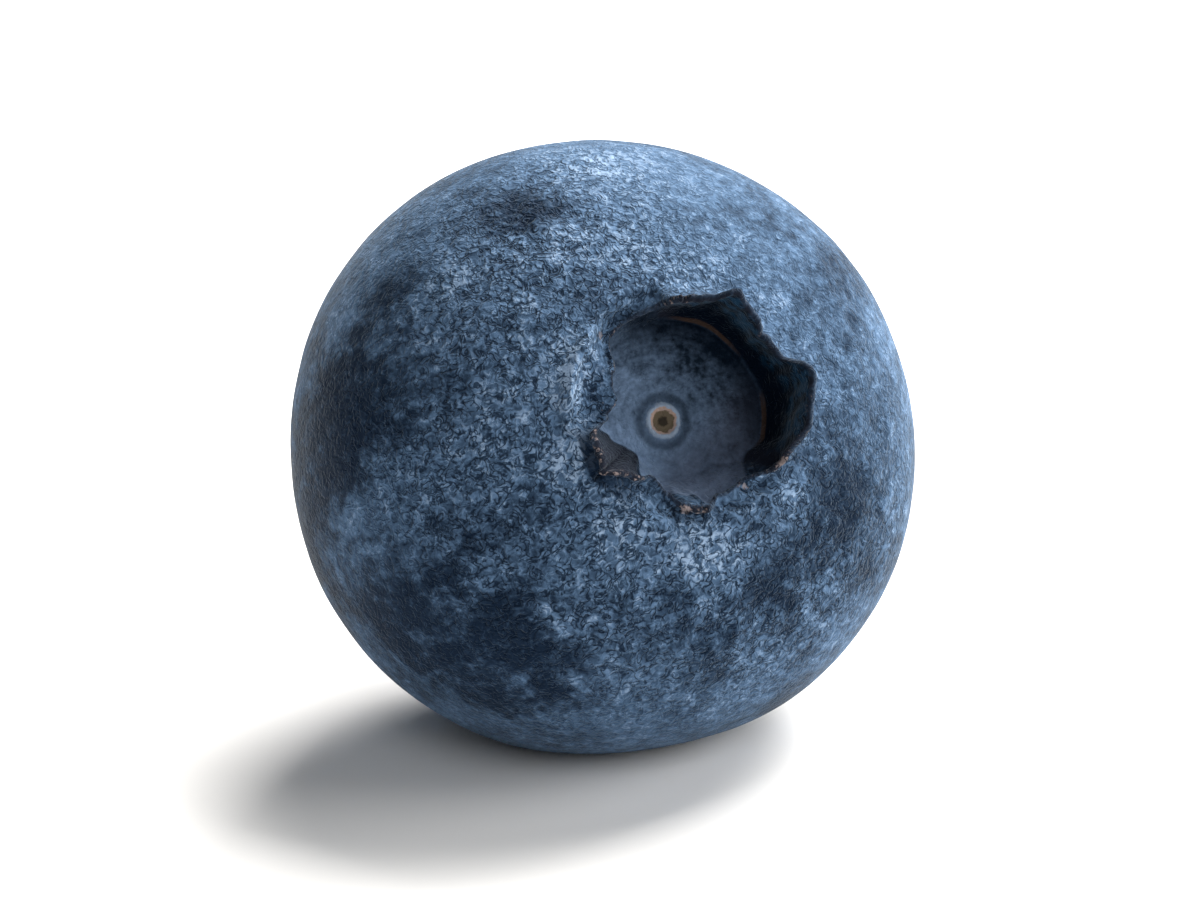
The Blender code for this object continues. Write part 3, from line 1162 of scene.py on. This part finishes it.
@dataclass(frozen=True)
class Studio:
    """The floor, the lights and the camera at the photograph's viewing angle."""

    floor: Floor = Floor()
    lights: tuple[SoftLight, ...] = (
        SoftLight("key", (0.26, 0.36, 0.52), 0.50, 16.0, (1.0, 0.965, 0.915)),
        SoftLight("shadow_side", (0.58, -0.05, 0.28), 0.35, 3.2, (1.0, 0.98, 0.95)),
        SoftLight("front", (0.14, -0.60, 0.46), 0.40, 1.6),
    )
    sky: Colour = (0.92, 0.96, 1.0)
    sky_strength: float = 0.11
    elevation: float = 24.0
    distance: float = 0.35
    seen_width: float = 0.0327
    sensor_width: float = 36.0
    clip: Span = (0.01, 10.0)
    aim: Place = (-0.0003, 0.0, 0.0079)

    def build(self) -> None:
        """Adds the floor, the lights, the sky and the camera."""
        self.floor.build()
        aim = Vector(self.aim)
        for light in self.lights:
            light.build(aim)
            LOG.info("light %s", light.name)
        self.build_sky()
        self.build_camera(aim)

    def build_sky(self) -> None:
        """Gives the room its even, weak light."""
        world = bpy.data.worlds.new("studio_sky")
        world.use_nodes = True
        background = world.node_tree.nodes["Background"]
        background.inputs["Color"].default_value = (*self.sky, 1.0)
        background.inputs["Strength"].default_value = self.sky_strength
        bpy.context.scene.world = world

    def build_camera(self, aim: Vector) -> None:
        """Adds the camera, which looks down along +Y at the photograph's angle.

        Args:
            aim: The point in the middle of the image.
        """
        rise = math.radians(self.elevation)
        view = Vector((0.0, math.cos(rise), -math.sin(rise)))
        bpy.ops.object.camera_add(location=aim - view * self.distance)
        camera = bpy.context.object
        camera.name = "camera"
        camera.rotation_euler = view.to_track_quat("-Z", "Y").to_euler()
        camera.data.sensor_width = self.sensor_width
        camera.data.lens = self.sensor_width * self.distance / self.seen_width
        camera.data.clip_start, camera.data.clip_end = self.clip
        bpy.context.scene.camera = camera
        bpy.context.scene.view_settings.view_transform = "Standard"


@dataclass(frozen=True)
class Blueberry:
    """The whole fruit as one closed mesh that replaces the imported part's node."""

    body: Body = Body()
    stem: StemEnd = StemEnd()
    crown: Crown = Crown()
    dish: Dish = Dish()
    pose: Pose = Pose()
    finish: FruitSkin = FruitSkin()
    columns: int = 360
    skin_steps: int = 96
    smooth_angle: float = 60.0
    cut_tolerance: float = 1e-6

    def profile(self, angle: float) -> tuple[list[ProfilePoint], Rim]:
        """The whole profile at an angle round the axis.

        Args:
            angle: Degrees round the fruit's axis.

        Returns:
            The points from the stem's pole to the dish's middle, and the crown's edge there.
        """
        rim = self.crown.ragged(angle)
        points = self.stem.stretch(self.body)
        points += self.body.skin(self.stem, points[-1].radius, rim.foot, self.skin_steps)
        foot = Vector((points[-1].radius, points[-1].height))
        heading = (foot - Vector((points[-2].radius, points[-2].height))).normalized()
        points += self.crown.stretch(rim, angle, foot, heading, self.dish)
        points += self.dish.stretch(rim.dish, angle)
        return points, rim

    def build(self) -> bpy.types.Object:
        """Models the fruit, lays it down and dresses it.

        Returns:
            The finished piece.
        """
        profiles = [self.profile(360.0 * n / self.columns) for n in range(self.columns)]
        rings = len(profiles[0][0]) - 1
        bpy.ops.object.select_all(action="DESELECT")
        bpy.ops.mesh.primitive_uv_sphere_add(segments=self.columns, ring_count=rings, radius=1.0)
        piece = bpy.context.object
        piece.name = "bloomed_berry"
        self.shape(piece.data, profiles, rings)
        self.cut_flat(piece)
        bpy.ops.object.shade_smooth_by_angle(angle=math.radians(self.smooth_angle))
        piece.data.materials.clear()
        piece.data.materials.append(self.finish.material())
        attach(piece, "root")
        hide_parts("blueberry")
        return piece

    def shape(self, mesh: bpy.types.Mesh, profiles: list, rings: int) -> None:
        """Moves each point of a sphere to its place on the fruit, and notes what it is part of.

        Args:
            mesh: The sphere's mesh.
            profiles: The profile and the crown's edge at each column.
            rings: How many steps there are from pole to pole.
        """
        count = len(mesh.vertices)
        start = np.empty(count * 3)
        mesh.vertices.foreach_get("co", start)
        start = start.reshape(count, 3)
        polar = np.arccos(np.clip(start[:, 2], -1.0, 1.0))
        ring = rings - np.rint(polar / math.pi * rings).astype(int)
        turn = np.degrees(np.arctan2(start[:, 1], start[:, 0]))
        column = np.rint(turn / 360.0 * self.columns).astype(int) % self.columns
        fruit = np.empty((count, 3))
        stretch = np.empty(count)
        finish = np.empty((3, count))
        for index in range(count):
            points, rim = profiles[column[index]]
            point = points[ring[index]]
            angle = 360.0 * column[index] / self.columns
            fruit[index] = self.place(point, angle)
            stretch[index] = point.stretch
            finish[:, index] = (rim.bloomed, rim.browned, rim.edge_shadow)
        mesh.vertices.foreach_set("co", self.pose.lay(fruit).ravel())
        mesh.attributes.new("fruit", "FLOAT_VECTOR", "POINT").data.foreach_set("vector", fruit.ravel())
        names = ("stretch", "bloomed", "browned", "edge_shadow")
        for name, values in zip(names, (stretch, *finish)):
            mesh.attributes.new(name, "FLOAT", "POINT").data.foreach_set("value", values)
        mesh.update()

    def place(self, point: ProfilePoint, angle: float) -> Place:
        """Where a profile point stands in the fruit's frame, with the skin's bumps.

        Args:
            point: The point of the profile.
            angle: Degrees round the axis.

        Returns:
            Its place in mm.
        """
        radius = point.radius * (1 + self.body.swell(angle, point.radius))
        turn = math.radians(angle)
        spot = Vector((radius * math.cos(turn), radius * math.sin(turn), point.height))
        if point.stretch <= Stretch.OUTER_FACE.value and radius > 0.0:
            spot += spot.normalized() * self.body.relief(spot, radius)
        return tuple(spot)

    def cut_flat(self, piece: bpy.types.Object) -> None:
        """Cuts the flat spot at the floor and closes it.

        Args:
            piece: The fruit; not used.
        """
        bpy.ops.object.mode_set(mode="EDIT")
        bpy.ops.mesh.select_all(action="SELECT")
        bpy.ops.mesh.bisect(
            plane_co=(0.0, 0.0, 0.0),
            plane_no=(0.0, 0.0, 1.0),
            use_fill=True,
            clear_inner=True,
            threshold=self.cut_tolerance,
        )
        bpy.ops.mesh.select_all(action="SELECT")
        bpy.ops.mesh.normals_make_consistent(inside=False)
        bpy.ops.object.mode_set(mode="OBJECT")


def main() -> None:
    """Builds the fruit and its studio."""
    logging.basicConfig(level=logging.INFO, format="%(name)s: %(message)s")
    berry = Blueberry().build()
    LOG.info("%s: %d points, %d faces", berry.name, len(berry.data.vertices), len(berry.data.polygons))
    Studio().build()


if __name__ == "__main__":
    main()
